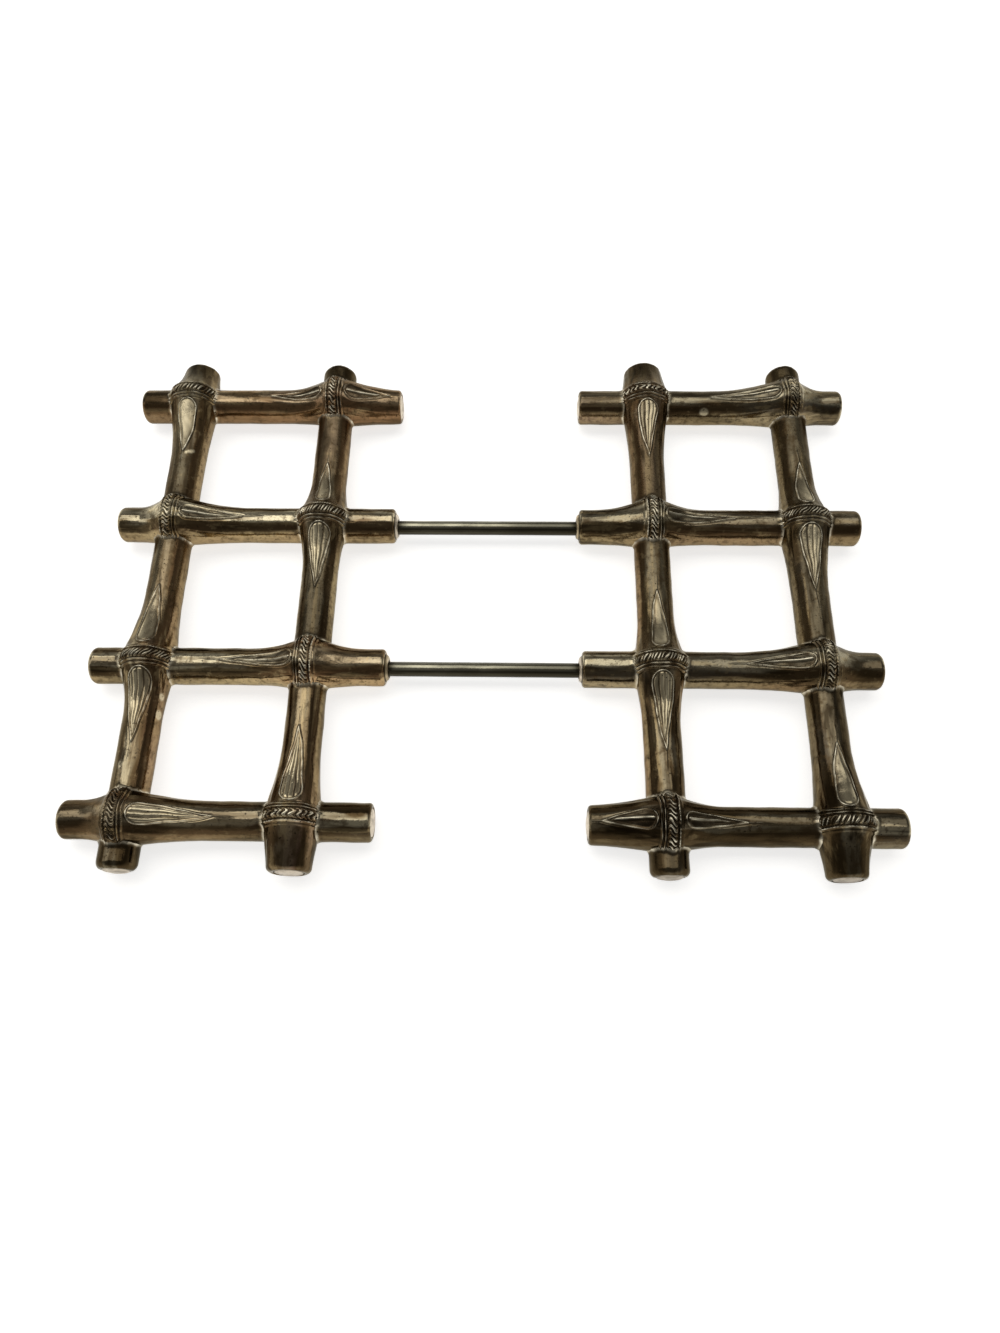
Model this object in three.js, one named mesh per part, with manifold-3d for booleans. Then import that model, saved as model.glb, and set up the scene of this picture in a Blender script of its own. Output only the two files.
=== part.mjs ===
// Expandable trivet: two equal lattices of hollow metal bamboo canes, one turned half round to face
// the other, drawn apart on two rods. Each lattice is brazed up from lengths of cane. At every
// crossing one cane runs through and swells into a node ring, and the other is cut to fit its sides.
// One rod is fixed in each lattice and slides in a guide bush in the mouth of the other.
// Millimetres, Z up, origin on the table under the middle of the trivet. X is the way it opens.
// Row 1 is at the head of a lattice and row 4 at its foot. Column 1 is the outer long cane.
import * as THREE from "three";
import { mergeVertices } from "three/addons/utils/BufferGeometryUtils.js";
import Module from "manifold-3d";

// Lattice
const COLUMN_PITCH = 53; // between the axes of a lattice's two long canes
const MIDDLE_ROW_PITCH = 54.7; // between the axes of the two middle cross canes
const END_ROW_PITCH = 52.2; // from a middle cross cane to the end one beside it
const EXTENSION = 62.3; // how far the lattices stand apart beyond closed
const CLOSED_GAP = 0.3; // left when closed between the mouths of the canes that the rods join
const PLAIN_END_GAP = 2.9; // left when closed between the plain ends that face each other
const OUTER_STUB = 20; // cross cane beyond the axis of the outer long cane
const LONG_STUB = 16.5; // long cane beyond the axis of the first and the last cross cane

// Canes
const CANE_DIAMETER = 12.3;
const CANE_WALL = 1.4;
const RIM_RADIUS = 1.2; // rounding round an open end
const RING_DIAMETER = 19.6;
const RING_WIDTH = 3.4;
const RING_LIFT = 2.8; // how far a ring's centre stands above the axis of its cane
const NECK_DIAMETER = 17.8; // swelling just beside the ring
const SHORT_SWELLING = 12;
const MIDDLE_SWELLING = 17;
const LONG_SWELLING = 26;

// Ends, rods and their fittings
const CAP_THICKNESS = 2;
const CAP_BEVEL = 0.4;
const FACE_RECESS = 0.3; // how deep caps, plugs and bushes sit in the end of a cane
const ROD_DIAMETER = 5;
const ROD_BEVEL = 0.6;
const ROD_DROP = 0.9; // how far a rod lies below the axis of the canes that it joins
const PLUG_LENGTH = 10;
const BUSH_LENGTH = 3.5;
const HEAD_THICKNESS = 2;

// Clearances
const SOLDER_GAP = 0.3; // filled with solder, between brazed pieces
const SLIDE_CLEARANCE = 0.3; // all round a rod in its bush and a stop head in its cane

// Sides of every round, and how far its corners stand out so that its flats keep the radius
const SIDES = 14;
const CORNER = 1 / Math.cos(Math.PI / SIDES);
const LEAST_STEP = 0.4; // between two points along a cane's outside

const CANE_RADIUS = CANE_DIAMETER / 2;
const BORE_RADIUS = CANE_RADIUS - CANE_WALL;
const RING_RADIUS = RING_DIAMETER / 2;
const NECK_RADIUS = NECK_DIAMETER / 2;
const ROD_RADIUS = ROD_DIAMETER / 2;
const MOUTH_STUB = (COLUMN_PITCH - CLOSED_GAP) / 2; // so that closed lattices keep the pitch
const PLAIN_STUB = (COLUMN_PITCH - PLAIN_END_GAP) / 2;
const INNER_AXIS = (COLUMN_PITCH + EXTENSION) / 2; // from the middle to an inner long cane
const AXIS_HEIGHT = RING_RADIUS - RING_LIFT; // of the canes, above the table
const FITTED_RADIUS = BORE_RADIUS - SOLDER_GAP; // caps, plugs and bushes soldered into a bore
const ROD_SEAT_RADIUS = ROD_RADIUS + SOLDER_GAP;
const ROWS = [1, 2, 3, 4];
const COLUMNS = [1, 2];

const manifold = await Module();
manifold.setup();

const plate = { color: 0x8a7d66, roughness: 0.3, metalness: 1 };
const capPlate = { color: 0xb9a98c, roughness: 0.38, metalness: 1 };
const rodSteel = { color: 0x6c6a58, roughness: 0.32, metalness: 1 };
const bushBrass = { color: 0x93805a, roughness: 0.4, metalness: 1 };

// How much of a swelling is left at a share of its length from the ring, and where it is drawn
const swellingLeft = (share) => (1 - share) ** 2;
const SWELLING_STATIONS = [0, 0.2, 0.45, 0.7, 1];

// The lengths of the two sides of each ring's swelling, by row and column, towards the foot or the
// outer end first
const SWELLING_SIDES = {
  1: { 1: [LONG_SWELLING, MIDDLE_SWELLING], 2: [MIDDLE_SWELLING, LONG_SWELLING] },
  2: { 1: [SHORT_SWELLING, LONG_SWELLING], 2: [MIDDLE_SWELLING, MIDDLE_SWELLING] },
  3: { 1: [MIDDLE_SWELLING, LONG_SWELLING], 2: [MIDDLE_SWELLING, MIDDLE_SWELLING] },
  4: { 1: [SHORT_SWELLING, LONG_SWELLING], 2: [LONG_SWELLING, LONG_SWELLING] },
};
const ROW_POSITIONS = [
  MIDDLE_ROW_PITCH / 2 + END_ROW_PITCH,
  MIDDLE_ROW_PITCH / 2,
  -MIDDLE_ROW_PITCH / 2,
  -MIDDLE_ROW_PITCH / 2 - END_ROW_PITCH,
];
// The row whose rod this lattice holds, and the row whose mouth takes the other lattice's rod
const ANCHOR_ROW = 2;
const GUIDE_ROW = 3;
const hasMouth = (row) => row === ANCHOR_ROW || row === GUIDE_ROW;

const rowPosition = (row) => ROW_POSITIONS[row - 1];
const columnPosition = (column) => (column - COLUMNS.length) * COLUMN_PITCH;

// The node rings change canes from one crossing to the next, as on a chessboard
const ringIsOnLongCane = (column, row) => (column + row) % 2 === 0;

function solidFrom(geometry) {
  const bare = geometry.clone();
  bare.deleteAttribute("normal");
  bare.deleteAttribute("uv");
  const merged = mergeVertices(bare);
  const triangles = [];
  for (let i = 0; i < merged.index.count; i += 3) {
    const [a, b, c] = [0, 1, 2].map((corner) => merged.index.getX(i + corner));
    if (a !== b && b !== c && c !== a) triangles.push(a, b, c);
  }
  return new manifold.Manifold(
    new manifold.Mesh({
      numProp: 3,
      vertProperties: new Float32Array(merged.attributes.position.array),
      triVerts: new Uint32Array(triangles),
    }),
  );
}

function meshFrom(solid, name, finish) {
  const { vertProperties, triVerts } = solid.getMesh();
  const geometry = new THREE.BufferGeometry();
  geometry.setAttribute("position", new THREE.BufferAttribute(vertProperties, 3));
  geometry.setIndex(new THREE.BufferAttribute(triVerts, 1));
  geometry.computeVertexNormals();
  const material = new THREE.MeshStandardMaterial({ ...finish, flatShading: true });
  const mesh = new THREE.Mesh(geometry, material);
  mesh.name = name;
  return mesh;
}

// Turns a closed outline of [place along the axis, radius, lift] points about a long cane's axis,
// at x = offset, or about a cross cane's axis, at y = offset, and lifts each point's circle
function turned(outline, isLong, offset) {
  const points = outline.map(([place, radius]) => new THREE.Vector2(radius * CORNER, place));
  const geometry = new THREE.LatheGeometry(points, SIDES, Math.PI / SIDES);
  const { position } = geometry.attributes;
  for (let i = 0; i < position.count; i += 1) {
    position.setZ(i, position.getZ(i) + (outline[i % outline.length][2] ?? 0));
  }
  if (isLong) geometry.translate(offset, 0, 0);
  else geometry.rotateZ(-Math.PI / 2).translate(0, offset, 0);
  return solidFrom(geometry);
}

function solidRound(outside, isLong, offset) {
  const low = outside[0][0];
  const high = outside.at(-1)[0];
  return turned([[low, 0], ...outside, [high, 0]], isLong, offset);
}

function hollowRound(outside, boreRadius, boreLift, isLong, offset) {
  const low = outside[0][0];
  const high = outside.at(-1)[0];
  const bore = [
    [high, boreRadius, boreLift],
    [low, boreRadius, boreLift],
  ];
  return turned([...outside, ...bore, outside[0]], isLong, offset);
}

// One point of a cane's outside beside a ring, at a share of that side's swelling
function swellingPoint(place, share) {
  const left = swellingLeft(share);
  return [place, CANE_RADIUS + (NECK_RADIUS - CANE_RADIUS) * left, RING_LIFT * left];
}

// The swelling on one side of a ring, from the ring outwards; side is -1 or 1 along the axis
function swellingOutside(ring, side) {
  const length = ring.sides[side < 0 ? 0 : 1];
  return SWELLING_STATIONS.map((share) =>
    swellingPoint(ring.place + side * (RING_WIDTH / 2 + share * length), share),
  );
}

// A rounded rim at an open end, from the end face inwards; inward is 1 or -1 along the axis
function rimOutside(ring, end, inward) {
  const shoulder = end + inward * RIM_RADIUS;
  let share = 1;
  if (ring) {
    const beyondRing = Math.abs(shoulder - ring.place) - RING_WIDTH / 2;
    share = Math.min(beyondRing / ring.sides[inward < 0 ? 1 : 0], 1);
  }
  const [, radius, lift] = swellingPoint(shoulder, share);
  const sag = RIM_RADIUS * (1 - Math.SQRT1_2);
  return [
    [end, radius - RIM_RADIUS, lift],
    [end + inward * sag, radius - sag, lift],
    [shoulder, radius, lift],
  ];
}

// A length of cane's outside from its low end to its high end
function caneOutside({ low, high, lowIsOpen, highIsOpen, ring }) {
  const lowEnd = lowIsOpen ? rimOutside(ring, low, 1) : [[low, CANE_RADIUS]];
  const highEnd = highIsOpen ? rimOutside(ring, high, -1) : [[high, CANE_RADIUS]];
  highEnd.reverse();
  let middle = [];
  if (ring) {
    middle = [
      ...swellingOutside(ring, -1).reverse(),
      [ring.place - RING_WIDTH / 2, RING_RADIUS, RING_LIFT],
      [ring.place + RING_WIDTH / 2, RING_RADIUS, RING_LIFT],
      ...swellingOutside(ring, 1),
    ];
  }
  const from = lowEnd.at(-1)[0] + LEAST_STEP;
  const to = highEnd[0][0] - LEAST_STEP;
  return [...lowEnd, ...middle.filter(([place]) => place > from && place < to), ...highEnd];
}

// The lengths that one cane is cut into. It runs through the crossings that carry its ring, and is
// cut at the axis of the others, where the crossing cane's sides are then taken out of it.
function lengthsOf({ name, isLong, offset, start, finish, isMouth, crossings, lengthNames }) {
  const cuts = crossings.filter((crossing) => !crossing.hasRing);
  const bounds = [start, ...cuts.map((cut) => cut.place), finish];
  return lengthNames.map((lengthName, i) => {
    const [low, high] = [bounds[i], bounds[i + 1]];
    const ring = crossings.find(
      ({ hasRing, place }) => hasRing && place > low && place < high,
    );
    return {
      name: `${name}_${lengthName}`,
      isLong,
      offset,
      low,
      high,
      ring,
      lowIsOpen: i === 0,
      highIsOpen: i === lengthNames.length - 1,
      highIsMouth: isMouth && i === lengthNames.length - 1,
    };
  });
}

const LATTICE_LENGTHS = [
  ...COLUMNS.flatMap((column) =>
    lengthsOf({
      name: column === 1 ? "outer_long_cane" : "inner_long_cane",
      isLong: true,
      offset: columnPosition(column),
      start: rowPosition(ROWS.at(-1)) - LONG_STUB,
      finish: rowPosition(ROWS[0]) + LONG_STUB,
      isMouth: false,
      crossings: [...ROWS].reverse().map((row) => ({
        place: rowPosition(row),
        hasRing: ringIsOnLongCane(column, row),
        sides: SWELLING_SIDES[row][column],
      })),
      lengthNames: ["foot", "middle", "head"],
    }),
  ),
  ...ROWS.flatMap((row) =>
    lengthsOf({
      name: `cross_cane_${row}`,
      isLong: false,
      offset: rowPosition(row),
      start: columnPosition(1) - OUTER_STUB,
      finish: columnPosition(2) + (hasMouth(row) ? MOUTH_STUB : PLAIN_STUB),
      isMouth: hasMouth(row),
      crossings: COLUMNS.map((column) => ({
        place: columnPosition(column),
        hasRing: !ringIsOnLongCane(column, row),
        sides: SWELLING_SIDES[row][column],
      })),
      lengthNames: ["outer", "inner"],
    }),
  ),
];

// What a cane takes out of the canes that are cut to fit it: its outside grown by the solder gap
function fittingRoom(length) {
  const grown = caneOutside(length).map(([place, radius, lift]) => [
    place,
    radius + SOLDER_GAP,
    lift,
  ]);
  return solidRound(grown, length.isLong, length.offset);
}

// Does one length cross another at a cut end of the other?
function isFittedTo(length, through) {
  if (!through.ring || through.isLong === length.isLong) return false;
  const cutEnds = [];
  if (!length.lowIsOpen) cutEnds.push(length.low);
  if (!length.highIsOpen) cutEnds.push(length.high);
  return cutEnds.includes(through.offset) && through.ring.place === length.offset;
}

function caneSolid(length) {
  const tube = hollowRound(caneOutside(length), BORE_RADIUS, 0, length.isLong, length.offset);
  return LATTICE_LENGTHS.filter((through) => isFittedTo(length, through)).reduce(
    (solid, through) => solid.subtract(fittingRoom(through)),
    tube,
  );
}

// A disc soldered into the open end of a cane, its outer edge bevelled; inward is 1 or -1
function capSolid({ isLong, offset }, end, inward) {
  const face = end + inward * FACE_RECESS;
  const outside = [
    [face, FITTED_RADIUS - CAP_BEVEL],
    [face + inward * CAP_BEVEL, FITTED_RADIUS],
    [face + inward * CAP_THICKNESS, FITTED_RADIUS],
  ];
  if (inward < 0) outside.reverse();
  return solidRound(outside, isLong, offset);
}

// A sleeve in the bore of a cross cane, and the hole through it that a rod goes in
function sleeveSolid(low, high, outerRadius, holeRadius, row) {
  const outside = [
    [low, outerRadius],
    [high, outerRadius],
  ];
  return hollowRound(outside, holeRadius, -ROD_DROP, false, rowPosition(row));
}

const MOUTH = columnPosition(2) + MOUTH_STUB;
const MOUTH_FACE = MOUTH - FACE_RECESS; // of the plug or bush in it
const OTHER_MOUTH = MOUTH + CLOSED_GAP + EXTENSION;
const BUSH_END = MOUTH_FACE - BUSH_LENGTH;
const HEAD_START = OTHER_MOUTH + FACE_RECESS + BUSH_LENGTH + SLIDE_CLEARANCE;
const ROD_FREE_END = HEAD_START + HEAD_THICKNESS;
const ROD_FIXED_END = BORE_RADIUS; // flush with the bore of the inner long cane

function rodSolid() {
  const outside = [
    [ROD_FIXED_END, ROD_RADIUS - ROD_BEVEL, -ROD_DROP],
    [ROD_FIXED_END + ROD_BEVEL, ROD_RADIUS, -ROD_DROP],
    [ROD_FREE_END - ROD_BEVEL, ROD_RADIUS, -ROD_DROP],
    [ROD_FREE_END, ROD_RADIUS - ROD_BEVEL, -ROD_DROP],
  ];
  return solidRound(outside, false, rowPosition(ANCHOR_ROW));
}

// The hole in the near side of the inner long cane that the rod's fixed end is soldered into
function rodSeat() {
  const outside = [
    [columnPosition(2), ROD_SEAT_RADIUS, -ROD_DROP],
    [MOUTH, ROD_SEAT_RADIUS, -ROD_DROP],
  ];
  return solidRound(outside, false, rowPosition(ANCHOR_ROW));
}

function latticeMeshes(side) {
  const meshes = [];
  const add = (solid, name, finish) => meshes.push(meshFrom(solid, `${side}_${name}`, finish));
  for (const length of LATTICE_LENGTHS) {
    const cane = caneSolid(length);
    const holdsRod = length.isLong && length.ring?.place === rowPosition(ANCHOR_ROW);
    add(holdsRod ? cane.subtract(rodSeat()) : cane, length.name, plate);
    if (length.lowIsOpen) add(capSolid(length, length.low, 1), `${length.name}_cap`, capPlate);
    if (length.highIsOpen && !length.highIsMouth) {
      add(capSolid(length, length.high, -1), `${length.name}_cap`, capPlate);
    }
  }
  const plug = [MOUTH_FACE - PLUG_LENGTH, MOUTH_FACE, FITTED_RADIUS, ROD_SEAT_RADIUS];
  add(sleeveSolid(...plug, ANCHOR_ROW), "anchor_plug", capPlate);
  const bush = [BUSH_END, MOUTH_FACE, FITTED_RADIUS, ROD_RADIUS + SLIDE_CLEARANCE];
  add(sleeveSolid(...bush, GUIDE_ROW), "guide_bush", bushBrass);
  const head = [HEAD_START, ROD_FREE_END, BORE_RADIUS - SLIDE_CLEARANCE, ROD_SEAT_RADIUS];
  add(sleeveSolid(...head, ANCHOR_ROW), "stop_head", bushBrass);
  add(rodSolid(), "slide_rod", rodSteel);
  return meshes;
}

// One lattice lying on its node rings, its inner long cane to the left of the middle
function lattice(side) {
  const group = new THREE.Group();
  group.position.set(-INNER_AXIS, 0, AXIS_HEIGHT);
  group.add(...latticeMeshes(side));
  return group;
}

const trivet = new THREE.Group();
const turnedHalf = new THREE.Group();
turnedHalf.rotation.z = Math.PI;
turnedHalf.add(lattice("right"));
trivet.add(lattice("left"), turnedHalf);

export default trivet;
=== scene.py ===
import math

import bmesh
import bpy
import numpy as np
from bpy.props import FloatProperty, FloatVectorProperty, IntProperty, PointerProperty
from mathutils import Matrix, Vector


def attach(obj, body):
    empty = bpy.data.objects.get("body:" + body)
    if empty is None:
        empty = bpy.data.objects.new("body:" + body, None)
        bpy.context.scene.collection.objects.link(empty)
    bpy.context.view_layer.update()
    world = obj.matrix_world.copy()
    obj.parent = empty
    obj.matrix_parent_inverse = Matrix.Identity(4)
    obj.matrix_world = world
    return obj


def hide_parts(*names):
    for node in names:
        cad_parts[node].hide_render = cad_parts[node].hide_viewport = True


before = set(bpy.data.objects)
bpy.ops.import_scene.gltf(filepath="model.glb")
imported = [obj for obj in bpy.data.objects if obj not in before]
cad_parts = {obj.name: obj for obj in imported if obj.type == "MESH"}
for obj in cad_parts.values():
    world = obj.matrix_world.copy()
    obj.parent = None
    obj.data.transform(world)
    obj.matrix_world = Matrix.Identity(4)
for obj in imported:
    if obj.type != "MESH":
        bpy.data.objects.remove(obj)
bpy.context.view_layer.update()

bl_info = {
    "name": "Expandable bamboo trivet",
    "version": (1, 0, 0),
    "blender": (4, 5, 0),
    "location": "View3D > Sidebar > Trivet",
    "description": "Dresses the packed frame of an expandable trivet as aged silver-plated bamboo",
    "category": "Object",
}

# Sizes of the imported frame, in millimetres, most of them named as in its source. A half's own frame
# has the axis of the inner long cane at x = 0 and the axes of all canes at z = 0.
COLUMN_PITCH = 53.0
MIDDLE_ROW_PITCH = 54.7
END_ROW_PITCH = 52.2
EXTENSION = 62.3
CLOSED_GAP = 0.3
PLAIN_END_GAP = 2.9
OUTER_STUB = 20.0
LONG_STUB = 16.5
CANE_RADIUS = 6.15
BORE_RADIUS = 4.75
RING_RADIUS = 9.8
RING_LIFT = 2.8
NECK_RADIUS = 8.9
RING_WIDTH = 3.4
ROD_RADIUS = 2.5
ROD_DROP = 0.9
PLUG_LENGTH = 10.0
BUSH_LENGTH = 3.5
HEAD_THICKNESS = 2.0
FACE_RECESS = 0.3
SLIDE_CLEARANCE = 0.3
AXIS_HEIGHT = RING_RADIUS - RING_LIFT
INNER_AXIS = (COLUMN_PITCH + EXTENSION) / 2
MOUTH_STUB = (COLUMN_PITCH - CLOSED_GAP) / 2
PLAIN_STUB = (COLUMN_PITCH - PLAIN_END_GAP) / 2
ROW_PLACES = {
    1: MIDDLE_ROW_PITCH / 2 + END_ROW_PITCH,
    2: MIDDLE_ROW_PITCH / 2,
    3: -MIDDLE_ROW_PITCH / 2,
    4: -MIDDLE_ROW_PITCH / 2 - END_ROW_PITCH,
}
COLUMN_PLACES = {1: -COLUMN_PITCH, 2: 0.0}
ANCHOR_ROW, GUIDE_ROW = 2, 3
FOOT_ROW = 4
FOOT_END = ROW_PLACES[FOOT_ROW] - LONG_STUB
HEAD_END = ROW_PLACES[1] + LONG_STUB
OUTER_END = COLUMN_PLACES[1] - OUTER_STUB
# How far the swelling of each ring reaches along its cane, by row and column
SHORT, MIDDLE, LONG = 12.0, 17.0, 26.0
SWELLING_SIDES = {
    (1, 1): (LONG, MIDDLE), (1, 2): (MIDDLE, LONG),
    (2, 1): (SHORT, LONG), (2, 2): (MIDDLE, MIDDLE),
    (3, 1): (MIDDLE, LONG), (3, 2): (MIDDLE, MIDDLE),
    (4, 1): (SHORT, LONG), (4, 2): (LONG, LONG),
}
HALVES = ("left", "right")

# What the settings of one kind share
IN_METRES = {"subtype": "DISTANCE", "unit": "LENGTH"}
AS_COLOUR = {"size": 3, "min": 0.0, "max": 1.0, "subtype": "COLOR"}


class RingSettings(bpy.types.PropertyGroup):
    """The relief that is cast on a node ring."""

    stroke_height: FloatProperty(
        name="Stroke height", description="How far the rope strokes stand out of the crest",
        default=0.00058, min=0.0, **IN_METRES)
    stroke_pitch: FloatProperty(
        name="Stroke pitch", description="From one rope stroke to the next, round the ring",
        default=0.00142, min=0.0005, **IN_METRES)
    rim_height: FloatProperty(
        name="Rim height", description="How far the thin rims beside the crest stand out",
        default=0.00050, min=0.00001, **IN_METRES)


class LeafSettings(bpy.types.PropertyGroup):
    """The leaf marks beside the node rings."""

    outline_height: FloatProperty(
        name="Outline height", description="How far a leaf's raised outline stands out",
        default=0.00044, min=0.0, **IN_METRES)
    flute_height: FloatProperty(
        name="Flute height", description="Height of the lengthwise ridges inside a leaf",
        default=0.00016, min=0.0, **IN_METRES)
    body_height: FloatProperty(
        name="Body height", description="How far the whole leaf stands out of the cane",
        default=0.00026, min=0.0, **IN_METRES)


class CaneSettings(bpy.types.PropertyGroup):
    """The canes' own surface, their ends and their joints."""

    wobble: FloatProperty(
        name="Wobble", description="How far the cast surface strays from a true round",
        default=0.00007, min=0.0, **IN_METRES)
    outer_rounding: FloatProperty(
        name="Outer end rounding", description="Rounding of the ends that face outwards",
        default=0.0017, min=0.0003, **IN_METRES)
    inner_rounding: FloatProperty(
        name="Inner end rounding", description="Rounding of the ends that face the other half",
        default=0.0012, min=0.0003, **IN_METRES)
    fillet: FloatProperty(
        name="Solder fillet", description="Size of the solder fillet round a fitted end",
        default=0.0007, min=0.0001, **IN_METRES)
    mouth_dome: FloatProperty(
        name="Mouth dome", description="How far the plugs and bushes stand out of their mouths",
        default=0.0011, min=0.0, **IN_METRES)
    disc_dome: FloatProperty(
        name="Disc dome", description="How far the end discs bulge",
        default=0.0006, min=0.0, **IN_METRES)
    round_steps: IntProperty(
        name="Steps round a node", description="Steps of the spin that turns a cane with a node",
        default=192, min=48, max=256)


class FinishSettings(bpy.types.PropertyGroup):
    """Colours of the aged plate, the discs, the rods and their bushes."""

    # the rubbed bright top of a cane: partly wear, partly a painted highlight
    worn_plate_and_highlight: FloatVectorProperty(
        name="Worn plate", description="Silver plate where hands and dishes have kept it bright",
        default=(0.74, 0.665, 0.465), **AS_COLOUR)
    plate: FloatVectorProperty(
        name="Plate", description="Evenly tarnished plate",
        default=(0.240, 0.185, 0.098), **AS_COLOUR)
    dark_plate: FloatVectorProperty(
        name="Dark plate", description="Heavy tarnish beside the bright places",
        default=(0.086, 0.057, 0.027), **AS_COLOUR)
    copper_plate: FloatVectorProperty(
        name="Copper blush", description="Warm metal that shows through on the flanks",
        default=(0.37, 0.20, 0.095), **AS_COLOUR)
    gold_plate: FloatVectorProperty(
        name="Gold plate", description="Clean, slightly yellowed plate on the flanks",
        default=(0.44, 0.335, 0.175), **AS_COLOUR)
    grey_film: FloatVectorProperty(
        name="Grey film", description="Dull film along the top of the canes that were not rubbed",
        default=(0.215, 0.187, 0.125), **AS_COLOUR)
    bare_silver: FloatVectorProperty(
        name="Bare silver", description="Raised lines that polishing has rubbed to bare silver",
        default=(0.88, 0.82, 0.64), **AS_COLOUR)
    # grime in the relief's grooves, also used for painted shade beside the joints and in the turned
    # parts' gaps
    grime_and_shade: FloatVectorProperty(
        name="Grime", description="Dirt in the grooves of the relief",
        default=(0.024, 0.017, 0.010), **AS_COLOUR)
    disc: FloatVectorProperty(
        name="End disc", description="Pale discs in the ends of the canes",
        default=(0.70, 0.61, 0.48), **AS_COLOUR)
    rod: FloatVectorProperty(
        name="Rod", description="Steel of the slide rods",
        default=(0.46, 0.44, 0.33), **AS_COLOUR)
    bush: FloatVectorProperty(
        name="Bush", description="Brass of the guide bushes and stop heads",
        default=(0.52, 0.42, 0.26), **AS_COLOUR)


class StageSettings(bpy.types.PropertyGroup):
    """Floor, lamps and camera."""

    floor: FloatVectorProperty(
        name="Floor", description="Colour of the plain floor",
        default=(0.86, 0.86, 0.855), **AS_COLOUR)
    focal_length: FloatProperty(
        name="Focal length", description="Lens of the camera in mm, on a 36 mm long side",
        default=25.10, min=10.0, max=200.0)
    key_radiance: FloatProperty(
        name="Main softbox", description="Brightness of the large softbox behind the trivet",
        default=1.55, min=0.0)
    ceiling: FloatVectorProperty(
        name="Ceiling", description="Dim light of the room overhead",
        default=(0.19, 0.186, 0.178), **AS_COLOUR)
    horizon: FloatVectorProperty(
        name="Horizon", description="Light of the room's far walls",
        default=(0.52, 0.51, 0.49), **AS_COLOUR)
    near_walls: FloatVectorProperty(
        name="Near walls", description="Light of the paler walls behind the viewer",
        default=(0.86, 0.84, 0.80), **AS_COLOUR)


def to_mm(metres):
    return metres * 1000.0


def smooth(low, high, value):
    """From 0 at low to 1 at high, with soft ends."""
    share = np.clip((value - low) / (high - low), 0.0, 1.0)
    return share * share * (3.0 - 2.0 * share)


def bump(distance, width):
    """A hump that is 1 at no distance and has faded at about twice the width."""
    return np.exp(-((distance / width) ** 2))


# The canes of one half. A cane's place runs along its own axis: along x for a cross cane and along
# y for a long one.
class Ring:
    """A node ring, and the swelling on its two sides."""

    def __init__(self, column, row, stroke):
        self.column, self.row, self.stroke = column, row, stroke
        self.is_on_long_cane = (column + row) % 2 == 0
        self.place = ROW_PLACES[row] if self.is_on_long_cane else COLUMN_PLACES[column]
        self.sides = SWELLING_SIDES[(row, column)]

    def left_of_swelling(self, beside):
        """How much of the swelling is left at a distance beside the ring."""
        length = np.where(beside < 0, self.sides[0], self.sides[1])
        share = np.clip((np.abs(beside) - RING_WIDTH / 2) / length, 0.0, 1.0)
        return (1.0 - share) ** 2

    def radius(self, beside):
        return CANE_RADIUS + (NECK_RADIUS - CANE_RADIUS) * self.left_of_swelling(beside)

    def lift(self, beside):
        return RING_LIFT * self.left_of_swelling(beside)


class Leaf:
    """A leaf mark beside a ring. Its round root touches the ring's rims, and its tip points away.
    A plain leaf is filled and smooth, a streaked one has soft lengthwise ridges, and a lined one is
    a thin outline with a ridge down its middle."""

    def __init__(self, side, length, width, kind):
        self.side, self.length, self.half_width, self.kind = side, length, width / 2, kind


class Cane:
    """One length of cane, from one cut or open end to the next. A cut is the ring of the cane that
    the end is fitted to, and an end's inward is 1 or -1 along the axis."""

    def __init__(self, name, is_long, offset, low, high, low_cut, high_cut, ring, leaves,
                 end_soot, state):
        self.name, self.is_long, self.offset = name, is_long, offset
        self.low, self.high, self.low_cut = low, high, low_cut
        self.ends = ((low, 1, low_cut), (high, -1, high_cut))
        self.ring, self.leaves, self.end_soot = ring, leaves, end_soot
        self.low_polish, self.high_polish, self.golden, self.blush, self.soot = state

    def is_mouth_end(self, end):
        return not self.is_long and end == MOUTH_STUB

    def seed(self, half):
        return sum(ord(letter) for letter in self.name + half)

    def radius(self, places):
        if self.ring:
            return self.ring.radius(places - self.ring.place)
        return np.full_like(places, CANE_RADIUS)

    def lift(self, places):
        if self.ring:
            return self.ring.lift(places - self.ring.place)
        return np.zeros_like(places)

    def from_open_end(self, places):
        """How far each place is from the nearest open end, or a long way where both are cut."""
        away = [(places - end) * inward for end, inward, cut in self.ends if not cut]
        return np.minimum.reduce([np.full_like(places, 1000.0), *away])


# Strokes of each ring, by row and column: pitch share, slant, how far they curl like an S, and how
# far polishing has bared their tops
RING_STROKES = {
    (1, 1): (1.0, 0.5, 0.0, 0.85), (1, 2): (1.15, 0.3, 0.35, 0.9),
    (2, 1): (1.0, 0.0, 0.45, 0.8), (2, 2): (0.80, 0.45, 0.0, 1.0),
    (3, 1): (0.92, 0.8, 0.15, 0.9), (3, 2): (1.2, 0.55, 0.4, 1.0),
    (4, 1): (1.1, 0.35, 0.4, 0.65), (4, 2): (1.3, -0.5, 0.45, 0.95),
}
RINGS = {(row, column): Ring(column, row, stroke) for (row, column), stroke in RING_STROKES.items()}
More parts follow.
